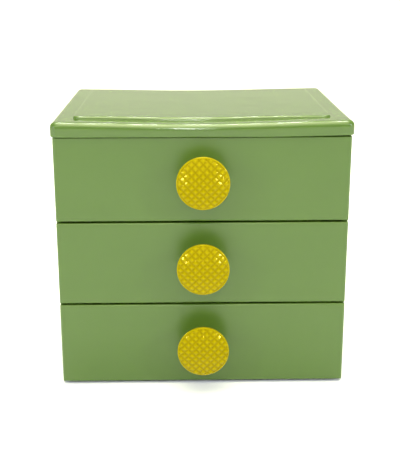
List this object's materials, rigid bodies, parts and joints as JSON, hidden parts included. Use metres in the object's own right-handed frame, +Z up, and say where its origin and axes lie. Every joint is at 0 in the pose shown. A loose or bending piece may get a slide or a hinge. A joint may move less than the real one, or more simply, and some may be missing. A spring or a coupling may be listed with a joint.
{
  "type": "desktop mini drawers",
  "caption": "Desktop cabinet of small stacked drawers with flat fronts, round faceted knobs and an overhanging cover with a raised field.",
  "frame": {"origin": "on the table, under the middle of the whole object's footprint, knobs included", "axes": "+X to the right seen from the front, +Y to the back, +Z up; the drawers open towards -Y"},
  "size_m": [0.1824, 0.1722, 0.1715],
  "materials": {
    "cabinet_plastic": "satin",
    "drawer_plastic": "satin",
    "knob_plastic": "gloss",
    "zinc_steel": "satin",
    "foot_rubber": "matte"
  },
  "bodies": {
    "cabinet": {"top_cover": "cabinet_plastic", "left_side_panel": "cabinet_plastic", "right_side_panel": "cabinet_plastic", "back_panel": "cabinet_plastic", "base_panel": "cabinet_plastic", "front_left_foot": "foot_rubber", "front_right_foot": "foot_rubber", "rear_left_foot": "foot_rubber", "rear_right_foot": "foot_rubber"},
    "top_drawer": {"top_drawer": "drawer_plastic", "top_knob": "knob_plastic", "top_knob_screw": "zinc_steel", "top_knob_washer": "zinc_steel"},
    "middle_drawer": {"middle_drawer": "drawer_plastic", "middle_knob": "knob_plastic", "middle_knob_screw": "zinc_steel", "middle_knob_washer": "zinc_steel"},
    "bottom_drawer": {"bottom_drawer": "drawer_plastic", "bottom_knob": "knob_plastic", "bottom_knob_screw": "zinc_steel", "bottom_knob_washer": "zinc_steel"}
  },
  "joints": [
    {"name": "top_drawer_slide", "type": "slide", "parent": "cabinet", "child": "top_drawer", "axis": [0, -1, 0], "range_m": [0, 0.1175]},
    {"name": "middle_drawer_slide", "type": "slide", "parent": "cabinet", "child": "middle_drawer", "axis": [0, -1, 0], "range_m": [0, 0.1175]},
    {"name": "bottom_drawer_slide", "type": "slide", "parent": "cabinet", "child": "bottom_drawer", "axis": [0, -1, 0], "range_m": [0, 0.1175]}
  ]
}
